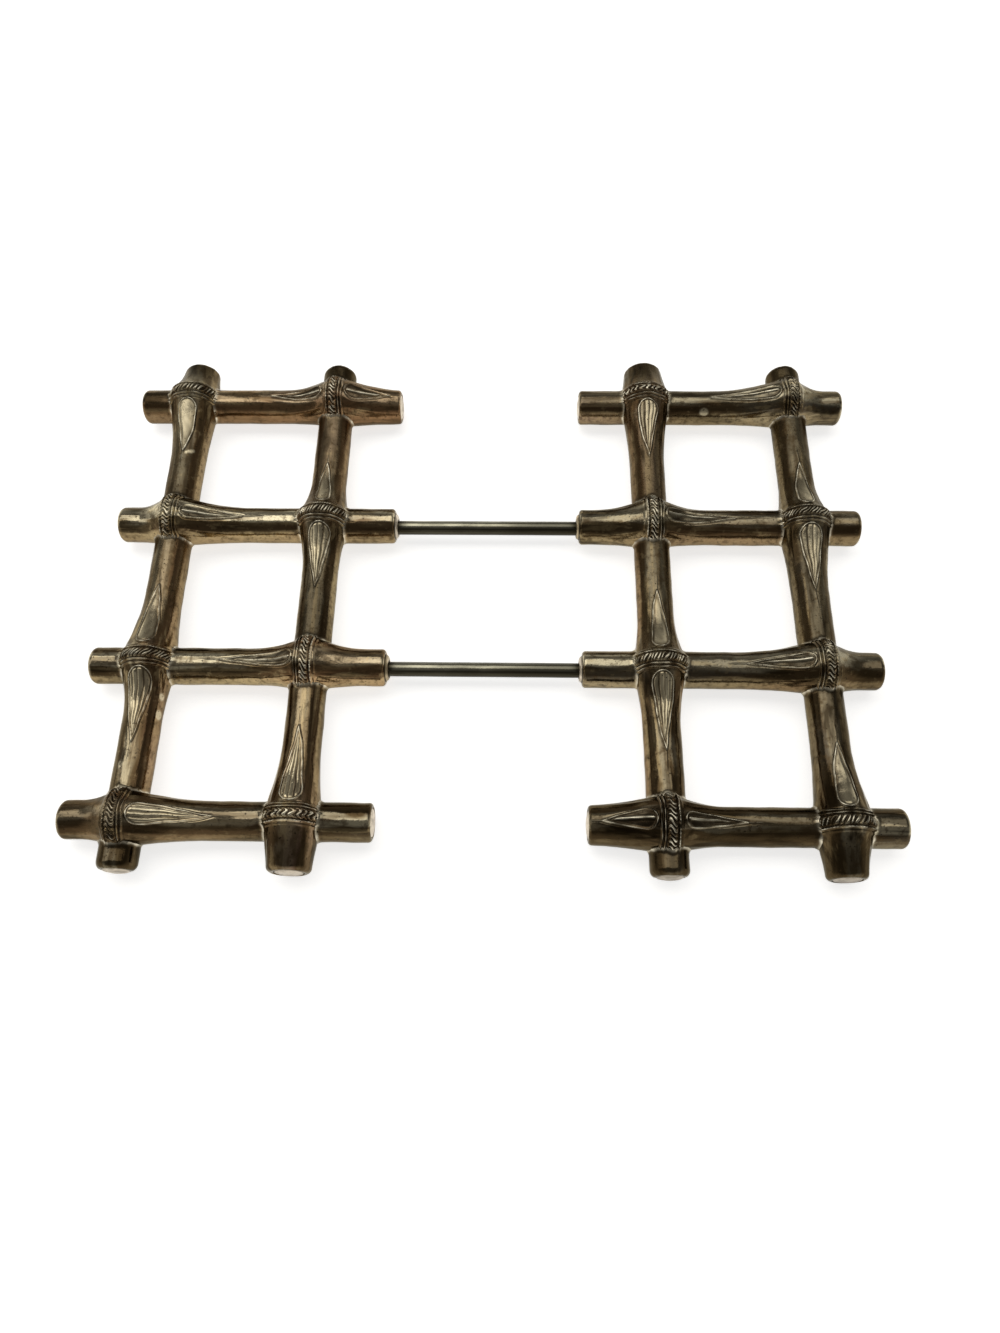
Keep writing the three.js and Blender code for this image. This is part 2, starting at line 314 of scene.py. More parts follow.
# Leaf marks beside each ring: the side of the ring along its cane, length, width and kind
LEAVES = {
    (1, 1): (Leaf(-1, 20.0, 6.4, "plain"),),
    (1, 2): (Leaf(-1, 19.0, 4.8, "lined"), Leaf(1, 16.0, 6.2, "lined")),
    (2, 1): (Leaf(1, 20.5, 5.2, "lined"),),
    (2, 2): (Leaf(1, 18.0, 4.6, "plain"), Leaf(-1, 23.0, 7.4, "streaked")),
    (3, 1): (Leaf(1, 23.0, 5.8, "plain"), Leaf(-1, 24.0, 7.6, "streaked")),
    (3, 2): (Leaf(-1, 24.0, 5.2, "lined"),),
    (4, 1): (Leaf(1, 24.5, 6.6, "streaked"),),
    (4, 2): (Leaf(1, 25.0, 6.8, "streaked"),),
}
# The marks that the right half has instead of those
RIGHT_LEAVES = {
    (1, 1): (Leaf(-1, 21.0, 5.8, "plain"),),
    (2, 2): (Leaf(-1, 22.0, 5.2, "plain"), Leaf(1, 25.0, 6.8, "streaked")),
    (3, 1): (Leaf(-1, 19.0, 5.0, "plain"), Leaf(1, 23.0, 7.4, "streaked")),
    (4, 1): (Leaf(1, 24.5, 5.2, "lined"),),
    (4, 2): (Leaf(1, 21.0, 7.0, "streaked"),),
}
HALF_LEAVES = {"left": LEAVES, "right": {**LEAVES, **RIGHT_LEAVES}}
# The state of each length of cane on the left half and on the right: its polish at its low and high
# ends, from dull to bright, how golden its flanks are, how much copper shows, and how dark it is
STATES = {
    "outer_long_cane_foot": ((1.0, 1.0, 0.20, 0.0, 0.33), (0.40, 0.40, 0.25, 0.15, 0.45)),
    "outer_long_cane_middle": ((1.0, 0.35, 0.45, 0.25, 0.05), (0.25, 0.40, 0.45, 0.40, 0.48)),
    "outer_long_cane_head": ((0.15, 0.15, 0.50, 0.15, 0.20), (0.60, 0.90, 0.30, 0.10, 0.42)),
    "inner_long_cane_foot": ((0.95, 0.85, 0.35, 0.15, 0.05), (0.35, 0.35, 0.40, 0.30, 0.55)),
    "inner_long_cane_middle": ((0.50, 0.20, 0.50, 0.30, 0.20), (0.25, 0.85, 0.60, 0.50, 0.33)),
    "inner_long_cane_head": ((0.40, 0.40, 0.20, 0.20, 0.50), (0.95, 0.60, 0.20, 0.0, 0.38)),
    "cross_cane_1_outer": ((0.45, 0.45, 0.25, 0.80, 0.24), (0.85, 0.85, 0.30, 0.10, 0.25)),
    "cross_cane_1_inner": ((0.75, 0.65, 0.20, 0.85, 0.22), (0.60, 0.70, 0.15, 0.20, 0.68)),
    "cross_cane_2_outer": ((0.85, 1.0, 0.60, 0.20, 0.0), (0.65, 0.65, 0.60, 0.45, 0.42)),
    "cross_cane_2_inner": ((1.0, 1.0, 0.60, 0.12, 0.0), (0.80, 0.80, 0.65, 0.40, 0.10)),
    "cross_cane_3_outer": ((0.85, 0.85, 0.80, 0.30, 0.0), (0.65, 0.65, 0.50, 0.15, 0.25)),
    "cross_cane_3_inner": ((0.90, 0.80, 0.95, 0.45, 0.05), (0.70, 0.70, 0.80, 0.25, 0.40)),
    "cross_cane_4_outer": ((0.60, 0.80, 0.30, 0.25, 0.30), (0.70, 0.70, 0.55, 0.15, 0.20)),
    "cross_cane_4_inner": ((0.95, 0.95, 0.20, 0.10, 0.35), (0.60, 0.60, 0.55, 0.10, 0.32)),
}
# How much darker a length is at its open end
END_SOOT = {"foot": 0.48, "middle": 0.48, "head": 0.48, "outer": 0.15, "inner": 0.0}


def cut_lengths(half, name, is_long, offset, start, finish, rings, parts):
    """The lengths that one cane is cut into, at the rings that sit on the canes that cross it. The
    rings of its crossings are given in order along it."""
    cuts = [ring for ring in rings if ring.is_on_long_cane != is_long]
    crossings = [ROW_PLACES[ring.row] if is_long else COLUMN_PLACES[ring.column] for ring in cuts]
    stops = [start, *crossings, finish]
    cut_rings = [None, *cuts, None]
    canes = []
    for i, part in enumerate(parts):
        low, high = stops[i:i + 2]
        ring = next((ring for ring in rings if ring not in cuts and low < ring.place < high), None)
        leaves = HALF_LEAVES[half][(ring.row, ring.column)] if ring else ()
        state = STATES[f"{name}_{part}"][HALVES.index(half)]
        canes.append(Cane(f"{name}_{part}", is_long, offset, low, high, cut_rings[i],
                          cut_rings[i + 1], ring, leaves, END_SOOT[part], state))
    return canes


def half_canes(half):
    """The fourteen lengths of cane of one half."""
    canes = []
    for column, name in ((1, "outer_long_cane"), (2, "inner_long_cane")):
        rings = [RINGS[(row, column)] for row in sorted(ROW_PLACES, reverse=True)]
        canes += cut_lengths(half, name, True, COLUMN_PLACES[column], FOOT_END, HEAD_END, rings,
                             ("foot", "middle", "head"))
    for row in ROW_PLACES:
        rings = [RINGS[(row, column)] for column in COLUMN_PLACES]
        inner_end = MOUTH_STUB if row in (ANCHOR_ROW, GUIDE_ROW) else PLAIN_STUB
        canes += cut_lengths(half, f"cross_cane_{row}", False, ROW_PLACES[row], OUTER_END, inner_end,
                             rings, ("outer", "inner"))
    return canes


# How far apart the points of a cane's outline lie along it: in plain stretches, at leaves and at
# the ring
PLAIN_STEP, LEAF_STEP, RING_STEP = 1.25, 0.42, 0.17
RING_REACH = 5.0  # of a ring's relief, from its middle
LEAF_ROOT = 4.3  # from the ring's middle to the round end of a leaf
TAIL_REACH = 8.0  # of the fine line beyond the tip of a leaf


def fine_spans(cane):
    """The stretches of a cane that need closer points: low end, high end and step."""
    if not cane.ring:
        return []
    place = cane.ring.place
    spans = [(place - RING_REACH, place + RING_REACH, RING_STEP)]
    for leaf in cane.leaves:
        ends = sorted((place + leaf.side * LEAF_ROOT,
                       place + leaf.side * (LEAF_ROOT + leaf.length + TAIL_REACH)))
        spans.append((*ends, LEAF_STEP))
    return spans


def stations(cane):
    """Places along a cane where its outline has a point."""
    places, place = [], cane.low
    spans = fine_spans(cane)
    while place < cane.high:
        places.append(place)
        step = PLAIN_STEP
        for low, high, fine in spans:
            if low - 1e-6 <= place < high:
                step = min(step, fine)
            elif place < low < place + step:
                step = low - place
        place += step
    return np.array(places)


CONTACT = 9.4  # from a crossing cane's axis to where a fitted end meets its flank, about
FILLET_STEPS = (-0.35, 0.0, 0.2, 0.42, 0.68, 1.0, 1.4, 1.9, 2.6, 3.5, 4.6)
FILLET_REACH = 1.9  # of the fillet along the cane, in its own size
RIM_STEPS = 8
# The seat inside an open end: depth from its face, and how much wider than the seat it is there
SEAT_STEPS = ((0.10, 0.03), (0.30, 0.0), (2.4, 0.0))
SEAT_DEPTH = 2.7


def end_rounding(cane, inward, settings):
    """Inner ends, which face the other half, are less worn than the others."""
    faces_other_half = inward < 0 and not cane.is_long
    return to_mm(settings.inner_rounding if faces_other_half else settings.outer_rounding)


def end_points(cane, end, inward, settings, dome):
    """The rounded rim of an open end, from the cane's side to the edge of the bore, with the place
    where it begins and the radius of the seat inside it."""
    rounding = end_rounding(cane, inward, settings)
    face = end + inward * dome
    shoulder = face + inward * rounding
    radius = float(cane.radius(np.array([shoulder]))[0])
    points = []
    for i in range(RIM_STEPS + 1):
        angle = math.pi / 2 * i / RIM_STEPS
        points.append((shoulder - inward * rounding * math.sin(angle),
                       radius - rounding * (1 - math.cos(angle))))
    seat = min(points[-1][1] - 0.12, BORE_RADIUS - 0.15)
    points += [(face + inward * depth, seat + wider) for depth, wider in SEAT_STEPS]
    points.append((face + inward * SEAT_DEPTH, BORE_RADIUS))
    return points, shoulder, seat


def cut_points(end, inward, fillet):
    """The fitted end of a length, from the edge of the bore over the solder fillet to the side."""
    points = [(end + inward * (CONTACT + FILLET_STEPS[0]), BORE_RADIUS)]
    for step in FILLET_STEPS:
        flare = fillet * max(0.0, 1.0 - max(step, 0.0) / (FILLET_REACH * fillet)) ** 2
        points.append((end + inward * (CONTACT + step), CANE_RADIUS + flare))
    return points


def cane_outline(cane, settings):
    """Closed outline of a length of cane: its outside from the low to the high end, and its bore."""
    places = stations(cane)
    ends = []
    for end, inward, cut in cane.ends:
        if cut:
            ends.append(cut_points(end, inward, to_mm(settings.fillet)))
            keep = (places - end) * inward > CONTACT + FILLET_STEPS[-1] + 0.3
        else:
            dome = settings.mouth_dome if cane.is_mouth_end(end) else settings.disc_dome
            rim, shoulder, _ = end_points(cane, end, inward, settings, to_mm(dome))
            ends.append(rim[::-1])
            keep = (places - shoulder) * inward > 0.15
        places = places[keep]
    middle = list(zip(places.tolist(), cane.radius(places).tolist()))
    return ends[0] + middle + ends[1][::-1]


PLAIN_ROUND_STEPS = 96  # of the spin of a part without a node


def spun(name, outline, is_closed, steps=PLAIN_ROUND_STEPS):
    """Turns an outline of (place, radius) points round the x axis: a quarter turn, mirrored twice.
    A closed outline makes a tube, and an open one starts and ends on the axis."""
    shape = bmesh.new()
    corners = [shape.verts.new((place, radius, 0.0)) for place, radius in outline]
    edges = [shape.edges.new(pair) for pair in zip(corners, corners[1:])]
    if is_closed:
        edges.append(shape.edges.new((corners[-1], corners[0])))
    bmesh.ops.spin(shape, geom=corners + edges, cent=(0, 0, 0), axis=(1, 0, 0),
                   angle=math.pi / 2, steps=steps // 4, use_merge=False, use_normal_flip=False,
                   use_duplicate=False)
    for axis in "YZ":
        bmesh.ops.mirror(shape, geom=shape.verts[:] + shape.edges[:] + shape.faces[:],
                         matrix=Matrix.Identity(4), merge_dist=1e-4, axis=axis)
    bmesh.ops.remove_doubles(shape, verts=shape.verts, dist=1e-5)
    bmesh.ops.recalc_face_normals(shape, faces=shape.faces)
    for face in shape.faces:
        face.smooth = True
    return mesh_of(shape, name)


def mesh_of(shape, name):
    mesh = bpy.data.meshes.new(name)
    shape.to_mesh(mesh)
    shape.free()
    return mesh


def points_of(mesh):
    points = np.empty(len(mesh.vertices) * 3, np.float32)
    mesh.vertices.foreach_get("co", points)
    return points.reshape(-1, 3).astype(float)


def radii_of(points):
    return np.hypot(points[:, 1], points[:, 2])


def paint(mesh, name, values):
    layer = mesh.attributes.new(name, "FLOAT", "POINT")
    layer.data.foreach_set("value", np.clip(values, 0.0, 1.0).astype(np.float32))


def put_in_place(mesh, points, is_long, offset, half):
    """Gives a mesh its finished points, and turns it from its cane's own axis to the half's place
    in the shared frame, in metres."""
    mesh.vertices.foreach_set("co", points.astype(np.float32).ravel())
    mesh.update()
    matrix = Matrix.Rotation(math.pi / 2, 4, "Z") if is_long else Matrix.Identity(4)
    across = Vector((offset, 0, 0)) if is_long else Vector((0, offset, 0))
    matrix = Matrix.Translation(across) @ matrix
    matrix = Matrix.Translation((-INNER_AXIS, 0, AXIS_HEIGHT)) @ matrix
    if half == "right":
        matrix = Matrix.Rotation(math.pi, 4, "Z") @ matrix
    mesh.transform(Matrix.Scale(0.001, 4) @ matrix)
    mesh.update()
    return mesh


# Waves of the uneven cast surface: length in millimetres and weight
CAST_WAVES = ((22.0, 0.5), (11.0, 0.45), (6.5, 0.4), (4.2, 0.22))


def cast_wobble(points, seed):
    """A smooth uneven surface, as a hand-finished casting has, between about -1 and 1."""
    rng = np.random.default_rng(seed)
    total = np.zeros(len(points))
    for wavelength, weight in CAST_WAVES:
        for _ in range(4):
            direction = rng.normal(size=3)
            direction /= np.linalg.norm(direction)
            phase = rng.uniform(0, 2 * math.pi)
            total += weight * 0.5 * np.sin(points @ direction * 2 * math.pi / wavelength + phase)
    return total


CREST_HALF_WIDTH = 1.5
CREST_BASE = 0.22  # height of the crest under its strokes
RIM_PLACE = 2.2  # from a ring's middle to the rims beside its crest
SECOND_RIM_PLACE = 3.2


def crest_profile(beside):
    """The round section of a ring's crest, from 1 at its middle to 0 at its edges."""
    return np.sqrt(np.clip(1.0 - (beside / CREST_HALF_WIDTH) ** 2, 0.0, 1.0))


def ring_relief(ring, leaves, beside, around, settings):
    """Crest with rope strokes, grooves and thin rims: height in mm, bright share, dark share.
    around is the distance round the ring from its top."""
    pitch_share, slant, curl, bared = ring.stroke
    pitch = to_mm(settings.stroke_pitch) * pitch_share
    height = to_mm(settings.stroke_height)
    rim = to_mm(settings.rim_height)
    profile = crest_profile(beside)
    drift = slant * beside + curl * pitch * np.sin(math.pi * beside / CREST_HALF_WIDTH)
    rng = np.random.default_rng(10 * ring.row + ring.column)
    uneven = 0.22 * np.sin(around * 0.9 + rng.uniform(0, 6)) + 0.16 * np.sin(around * 2.1 + 1.0)
    wave = 0.5 + 0.5 * np.cos(2 * math.pi * (around + drift + uneven) / pitch)
    stroke = smooth(0.18, 0.72, wave)
    crest = profile ** 0.7 * (CREST_BASE + height * stroke * (1.0 + 0.15 * np.sin(around * 1.3)))
    sway = 0.12 * np.sin(around * 0.7 + ring.row)
    if ring.row == FOOT_ROW:
        # low on the flanks of the foot rings the rims draw in and the crest flattens
        low = np.abs(around)
        sway = sway - 2.2 * smooth(8.5, 12.5, low)
        crest = crest * (1 - 0.7 * smooth(9.0, 12.0, low))
    # the rim is double on the side of the widest leaf mark, and beaded on the other
    double_side = float(max(leaves, key=lambda leaf: leaf.half_width).side)
    doubled = beside * double_side
    rims = rim * (bump(np.abs(beside) - RIM_PLACE - sway * 0.5, 0.27)
                  + 0.95 * bump(doubled - SECOND_RIM_PLACE - sway, 0.25)
                  + 0.35 * bump(-doubled - 3.15, 0.34))
    beads = 0.5 + 0.5 * np.cos(2 * math.pi * (around + 0.3) / (pitch * 0.72))
    rims += 0.34 * rim * beads * bump(-doubled - RIM_PLACE, 0.32)
    groove = (bump(np.abs(beside) - 1.68, 0.20)
              + 0.9 * bump(doubled - 2.7 - sway * 0.7, 0.19)
              + 0.6 * bump(doubled - 3.75 - sway, 0.24))
    relief = crest + rims - 0.16 * groove
    # polishing has reached some stretches of the ring more than others
    reached = (0.80 + 0.28 * np.sin(around * 1.15 + 2.0 * ring.row)
               * np.sin(around * 0.47 + beside * 0.8 + ring.column))
    bright = bared * reached * (profile * stroke + 0.85 * np.clip(rims / rim, 0, 1) ** 1.5)
    dark = profile * (1.0 - stroke) + groove
    return relief, bright, dark


def leaf_relief(leaf, beside, around, settings):
    """One leaf mark: height in mm, and its bright, dark and frosted shares. The frosted share is a
    pale fill that is partly a painted highlight, paler on one side of the leaf.
    """
    outline = to_mm(settings.outline_height)
    flute = to_mm(settings.flute_height)
    body = to_mm(settings.body_height)
    is_lined = leaf.kind == "lined"
    stray = np.sin(beside * 0.36 + leaf.length) + 0.4 * np.sin(beside * 0.85 + 2 * leaf.length)
    around = around + (0.08 if is_lined else 0.15) * stray
    along = leaf.side * beside - LEAF_ROOT
    wide = leaf.half_width
    run = np.clip((along - wide) / (leaf.length - wide), 0.0, 1.0)
    fullness = 2.0 if leaf.kind == "plain" else 1.35
    width_here = wide * (1.0 - run ** fullness) * (1.0 - 0.22 * run * (1 - run))
    # how far each point lies within the leaf's outline, past its round root and its thin tip
    inside = np.where(along < wide, wide - np.hypot(around, along - wide),
                      width_here - np.abs(around))
    inside = np.where(along > leaf.length, -np.hypot(around, along - leaf.length), inside)
    edge = bump(inside, 0.21 if is_lined else 0.27)
    moat = bump(inside + 0.55, 0.22)
    height = body * smooth(-0.05, 0.45, inside) + outline * edge - 0.10 * moat
    bright = edge * 1.2
    dark = 0.65 * moat
    frost = np.zeros_like(inside)
    if is_lined:
        ridge = bump(around + 0.10 * wide, 0.30 + 0.10 * wide * (1 - run))
        ridge = ridge * smooth(0.55, 1.0, inside)
        height += (outline * 0.8 + 0.10) * ridge - 0.18 * smooth(0.3, 0.7, inside)
        bright = 0.8 * bright + ridge * 1.1
        dark = dark + smooth(0.2, 0.45, inside) * (1 - np.clip(1.3 * ridge, 0, 1)) * 0.75
    elif leaf.kind == "streaked":
        share = around / np.maximum(width_here, 0.4)
        fading = 1.0 - 0.30 * smooth(0.10, 0.95, run)
        tongue = smooth(0.45, 0.9, inside)
        grooves = np.clip(bump(share + 0.38, 0.11) + 0.8 * bump(share - 0.12, 0.08)
                          + 0.6 * bump(share - 0.55, 0.07), 0, 1)
        height += tongue * (0.12 + flute * (1 - 2.2 * grooves))
        bright = fading * (bright + 0.55 * tongue * bump(share - 0.32, 0.12))
        dark = dark + tongue * 0.7 * grooves + 0.7 * bump(inside - 0.42, 0.15)
        # painted highlight: the pale fill is painted paler on one side of the leaf
        painted_highlight_side = 0.50 + 0.50 * smooth(-0.5, 0.2, share)
        frost = fading * tongue * (1 - 0.9 * grooves) * painted_highlight_side
    else:
        height += 0.16 * smooth(0.2, 1.4, inside)
        bright = bright * 0.85
        dark = dark + bump(inside + 0.05, 0.16) * 0.5
        # painted highlight: the pale fill is painted paler towards the root and on one side
        fading = 1.0 - 0.45 * smooth(0.0, 0.80, run)
        painted_highlight_side = 0.50 + 0.42 * smooth(-0.8, 0.5, around / wide)
        frost = fading * smooth(0.25, 1.1, inside) * painted_highlight_side
    beyond = along - leaf.length
    tail = bump(around, 0.22) * smooth(-0.6, 0.4, beyond) * (1 - smooth(3.0, 9.0, beyond))
    height += 0.13 * tail
    bright = bright + 0.6 * tail
    patchy = (0.76 + 0.24 * np.sin(along * 0.45 + around * 2.3 + leaf.length)
              * np.sin(along * 0.8 - 1.0))
    return height, bright * patchy, dark * (1.7 - patchy), frost * (patchy + 0.1)


# Soft creases that run from a node down its swelling: distance round from the top, and depth
CREASES = ((6.4, 0.20), (9.0, 0.16))


def cane_relief(cane, places, from_top, scene):
    """The ring and leaf marks over a length of cane: height in mm, and the bright, dark and frosted
    shares."""
    relief = np.zeros((4, len(places)))
    if not cane.ring:
        return relief
    around = from_top * cane.radius(places)
    beside = places - cane.ring.place
    away = np.abs(beside)
    on_ring = 1 - smooth(3.9, 4.6, away)
    fade = 1.0 - 0.75 * smooth(1.9, 2.9, np.abs(from_top))
    ring = ring_relief(cane.ring, cane.leaves, beside, around, scene.trivet_rings)
    relief[:3] += np.array(ring) * on_ring * fade
    for leaf in cane.leaves:
        clear = smooth(3.5, 4.2, leaf.side * beside)
        relief += np.array(leaf_relief(leaf, beside, around, scene.trivet_leaves)) * clear
    crease = sum(bump(np.abs(around) - spread, 0.75) * weight for spread, weight in CREASES)
    relief[0] += crease * (1 - smooth(5.0, 24.0, away)) * smooth(3.2, 6.0, away)
    return relief


# A fitted end is cut to this much of the crest and of the rims of the ring that it meets
FITTED_CREST, FITTED_RIM = 0.62, 0.3
LEAST_REACH = 2.4  # of a fitted end from the crossing cane's axis


def cut_shift(cut, is_long, across, up, inward):
    """How far a fitted end's points move along their cane to lie on the crossing cane's flank."""
    beside = -across if is_long else across
    crest = FITTED_CREST * crest_profile(beside)
    rims = FITTED_RIM * bump(np.abs(beside) - RIM_PLACE, 0.4)
    radius = cut.radius(beside) + crest + rims
    height = up - cut.lift(beside)
    reach = np.sqrt(np.maximum(radius ** 2 - height ** 2, LEAST_REACH ** 2))
    return inward * (reach - CONTACT)


# Small pale stains on the canes: half, cane, place along it, angle round it from the top, radius
STAINS = (
    ("left", "outer_long_cane_middle", -45.5, -72.0, 1.5),
    ("left", "outer_long_cane_middle", -39.5, -74.0, 1.0),
    ("left", "outer_long_cane_middle", -63.0, 20.0, 0.9),
    ("left", "outer_long_cane_head", 55.5, -33.0, 0.45),
    ("left", "outer_long_cane_head", 55.1, -26.0, 0.60),
    ("left", "outer_long_cane_head", 54.9, -18.0, 0.50),
    ("left", "outer_long_cane_head", 54.5, -10.0, 0.45),
    ("right", "cross_cane_4_outer", -21.5, 52.0, 1.5),
)


def stains_on(cane, half, places, around):
    """How much the small stains cover each point of a cane."""
    stain = np.zeros(len(places))
    for stained_half, name, place, angle, size in STAINS:
        if (stained_half, name) == (half, cane.name):
            away = np.hypot(places - place, around - math.radians(angle) * CANE_RADIUS)
            stain = np.maximum(stain, (1 - smooth(size * 0.75, size, away)) * 0.6
                               + bump(away - size * 0.95, 0.25) * 0.4)
    return stain


TOP_CROWDING = 0.45  # by this share the points lie closer on top of a cane, where the relief is
SKIN_MARGIN = 0.01  # by which the relief stays inside the CAD box, above and below
OPEN_END_REACH = 3.0  # of the rounded rim and the seat inside it
JOINT_HOLD = 9.0  # how far along a cane the shape of its fitted end fades


def cane_mesh(cane, half, scene):
    """The finished mesh of one length of cane."""
    settings = scene.trivet_canes
    steps = settings.round_steps if cane.ring else PLAIN_ROUND_STEPS
    mesh = spun(f"{half}_{cane.name}_visual", cane_outline(cane, settings), True, steps)
    points = points_of(mesh)
    places = points[:, 0]
    radii = radii_of(points)
    from_top = np.arctan2(points[:, 1], points[:, 2])
    from_top = from_top - TOP_CROWDING * np.sin(from_top)
    outside = radii > BORE_RADIUS + 0.02
    away = cane.from_open_end(places)
    rim = (away < OPEN_END_REACH) & (radii < cane.radius(places) - 0.8)
    height, bright, dark, frost = cane_relief(cane, places, from_top, scene)
    seed = cane.seed(half)
    wobble = cast_wobble(points, seed) * to_mm(settings.wobble)
    new_radii = radii + np.where(outside & ~rim, height + wobble, 0.0)
    across = new_radii * np.sin(from_top)
    up = new_radii * np.cos(from_top)
    along = places.copy()
    solder = np.zeros(len(points))
    for end, inward, cut in cane.ends:
        if not cut:
            continue
        beyond = (places - end) * inward - CONTACT
        hold = 1.0 - smooth(0.0, JOINT_HOLD, beyond)
        ripple = 0.12 * np.sin(from_top * 7 + seed) + 0.08 * np.sin(from_top * 13 + 2 * seed)
        along += (cut_shift(cut, cane.is_long, across, up, inward) + inward * ripple) * hold
        # painted shade beside the joint, where the fitted end meets the crossing cane
        dark += 0.45 * bump(beyond - 1.3, 0.6)
        # the solder line: partly the solder's paler metal, partly a painted highlight along the joint
        spread = 0.65 + 0.35 * np.sin(from_top * 3.2 + seed) * np.sin(from_top * 8.3 + 2 * seed)
        solder = np.maximum(solder, (1 - smooth(0.10, 0.75, beyond)) * spread)
    up = np.clip(up + np.where(outside, cane.lift(places), 0.0), SKIN_MARGIN - AXIS_HEIGHT,
                 2 * RING_RADIUS - SKIN_MARGIN - AXIS_HEIGHT)
    if not (cane.is_long or cane.low_cut):
        patches = np.sin(2 * from_top + seed) + 0.6 * np.sin(5 * from_top + 3 * seed)
        rim_wear = (1 - smooth(0.5, 2.2, places - cane.low)) * smooth(-0.4, 0.8, patches)
        frost = np.maximum(frost, 0.75 * rim_wear)
    stain = stains_on(cane, half, places, from_top * cane.radius(places))
    polish_rise = cane.high_polish - cane.low_polish
    for name, values in {
        "bright": bright * outside,
        "dark": dark * outside,
        "solder": solder * outside,
        # the stain layer also carries the leaves' pale fill, partly a painted highlight
        "stain": np.maximum(stain, frost * outside),
        "upward": 0.5 + 0.5 * np.cos(from_top),
        "polish": cane.low_polish + polish_rise * smooth(cane.low, cane.high, places),
        "golden": np.full(len(points), cane.golden),
        "blush": np.full(len(points), cane.blush),
        "soot": cane.soot + cane.end_soot * (1 - smooth(6.0, 14.0, away)),
    }.items():
        paint(mesh, name, values)
    return put_in_place(mesh, np.stack([along, across, up], 1), cane.is_long, cane.offset, half)


DISC_DEPTH = 0.03  # from the cane's end to the middle of its disc
DISC_SEAT_DEPTH = 2.2
DISC_STEPS = 14
# How much painted shade darkens the discs in the long canes
LONG_DISC_SHADE = {"left": 0.45, "right": 0.60}


def disc_mesh(cane, end, inward, half, settings):
    """The domed disc in an open end of a cane."""
    dome = to_mm(settings.disc_dome)
    _, _, seat = end_points(cane, end, inward, settings, dome)
    radius = seat - 0.07
    outline = [(end + inward * DISC_DEPTH, 0.0)]
    for i in range(1, DISC_STEPS + 1):
        share = i / DISC_STEPS
        outline.append((end + inward * (DISC_DEPTH + (dome + 0.12) * share ** 2.6),
                        radius * share))
    outline[-1] = (outline[-1][0] + inward * 0.12, outline[-1][1])
    back = end + inward * (DISC_SEAT_DEPTH + 0.1)
    outline += [(end + inward * DISC_SEAT_DEPTH, radius), (back, radius - 0.1), (back, 0.0)]
    mesh = spun(f"{half}_{cane.name}_disc", outline, False)
    points = points_of(mesh)
    is_face = (points[:, 0] - end) * inward < dome + 0.2
    dents = 0.05 + 0.05 * cast_wobble(points * 2.2, cane.seed(half) + 5)
    points[:, 0] += inward * np.where(is_face, dents, 0.0)
    # painted shade over the whole disc in a long cane; every disc is also darker round its edge
    dull = LONG_DISC_SHADE[half] if cane.is_long else 0.0
    edge = smooth(radius - 0.35, radius, radii_of(points))
    paint(mesh, "dark", np.maximum(edge * 0.8, dull))
    return put_in_place(mesh, points, cane.is_long, cane.offset, half)


SLEEVE_RADIUS = 4.5
SLEEVE_DEPTH = 0.1  # from the mouth to the middle of a sleeve's face, before it is domed
SLEEVE_DOME = 0.15  # by which a sleeve bulges more than its mouth stands out
CROWN_STEPS = 9
# The sleeves in the mouths: their node, length, hole, cane row, slot and finish
SLEEVES = (
    ("anchor_plug", PLUG_LENGTH, 2.62, ANCHOR_ROW, "end_plate", "end_plate_pale"),
    ("guide_bush", BUSH_LENGTH + 0.05, ROD_RADIUS + SLIDE_CLEARANCE, GUIDE_ROW, "bush_brass",
     "bush_brass_dull"),
)


def sleeve_mesh(name, length, hole, row, half, settings):
    """A sleeve in the bore of a cross cane. Its hole lies below its middle, and its high end is its
    domed face."""
    face = MOUTH_STUB - SLEEVE_DEPTH
    back = face - length
    dome = to_mm(settings.mouth_dome) + SLEEVE_DOME
    outline = [(back, hole), (back, SLEEVE_RADIUS)]
    crown = hole + 0.55
    for i in range(CROWN_STEPS + 1):
        angle = math.pi / 2 * i / CROWN_STEPS
        outline.append((face - dome * (1 - math.sin(angle)),
                        crown + (SLEEVE_RADIUS - crown) * math.cos(angle)))
    outline += [(face - 0.10, hole + 0.15), (face - 0.35, hole)]
    mesh = spun(name, outline, True)
    points = points_of(mesh)
    radii = radii_of(points)
    points[:, 2] -= ROD_DROP * (1 - smooth(hole, SLEEVE_RADIUS - 0.2, radii))
    # painted shade in the gaps round the hole and round the sleeve's edge
    paint(mesh, "dark", np.maximum(bump(radii - hole, 0.35),
                                   smooth(SLEEVE_RADIUS - 0.25, SLEEVE_RADIUS, radii)))
    return put_in_place(mesh, points, False, ROW_PLACES[row], half)


ROD_ROUND_STEPS = 64
ROD_STEP = 0.8
# Bevel of a rod's ends: distance from the end, and how much less than the rod's its radius is
ROD_BEVEL = ((0.0, 0.6), (0.18, 0.2), (0.6, 0.0))
ROD_SEEDS = {"left": 31, "right": 47}
# painted shade: the rod is painted dark this far beside each mouth
ROD_SHADE_REACH = 1.6  # beside a mouth


